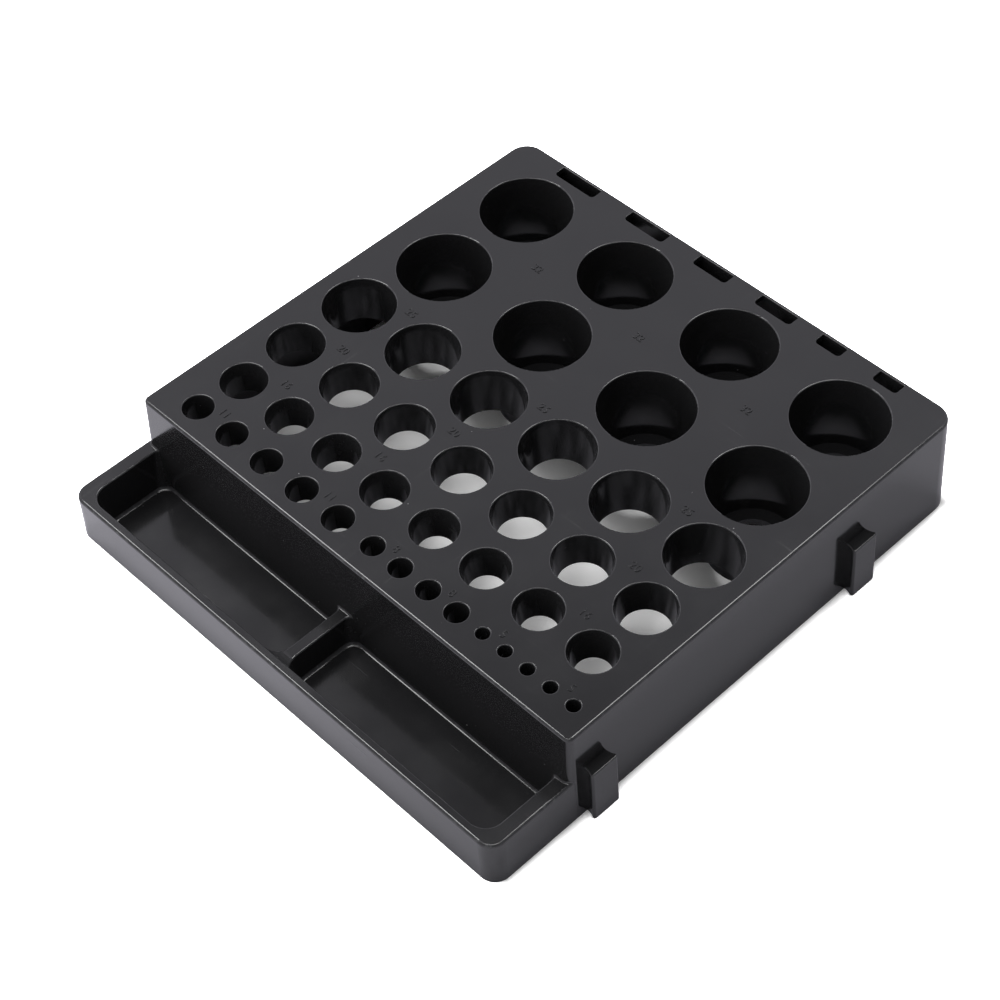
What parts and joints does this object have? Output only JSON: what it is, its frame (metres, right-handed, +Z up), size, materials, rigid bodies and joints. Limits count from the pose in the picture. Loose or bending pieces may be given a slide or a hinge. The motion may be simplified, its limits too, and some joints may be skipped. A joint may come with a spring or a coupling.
{
  "type": "collet storage box",
  "caption": "Black moulded rack with rows of tapered cups for collets, slots along the back, a divided tray along the front and flared lugs for joining boxes.",
  "frame": {"origin": "middle of the footprint, lugs included, on the surface the box stands on", "axes": "+Z up, +X towards the wall with the lugs, +Y from the tray to the slots"},
  "size_m": [0.2054, 0.2142, 0.0392],
  "materials": {
    "black_plastic": "glossy as moulded"
  },
  "bodies": {
    "root": {"deck_strip_slots": "black_plastic", "deck_strip_34_rear": "black_plastic", "deck_strip_34_front": "black_plastic", "deck_strip_26": "black_plastic", "deck_strip_21": "black_plastic", "deck_strip_17": "black_plastic", "deck_strip_small": "black_plastic", "cups_34_rear": "black_plastic", "cups_34_front": "black_plastic", "cups_26": "black_plastic", "cups_21": "black_plastic", "cups_17": "black_plastic", "cups_11": "black_plastic", "cups_8": "black_plastic", "cups_5": "black_plastic", "wall_rear": "black_plastic", "wall_left": "black_plastic", "wall_right": "black_plastic", "wall_front": "black_plastic", "tray_wall_front": "black_plastic", "tray_wall_left": "black_plastic", "tray_wall_right": "black_plastic", "tray_floor_left": "black_plastic", "tray_floor_right": "black_plastic", "tray_divider": "black_plastic", "lug_front": "black_plastic", "lug_rear": "black_plastic", "socket_front": "black_plastic", "socket_rear": "black_plastic"}
  },
  "joints": []
}
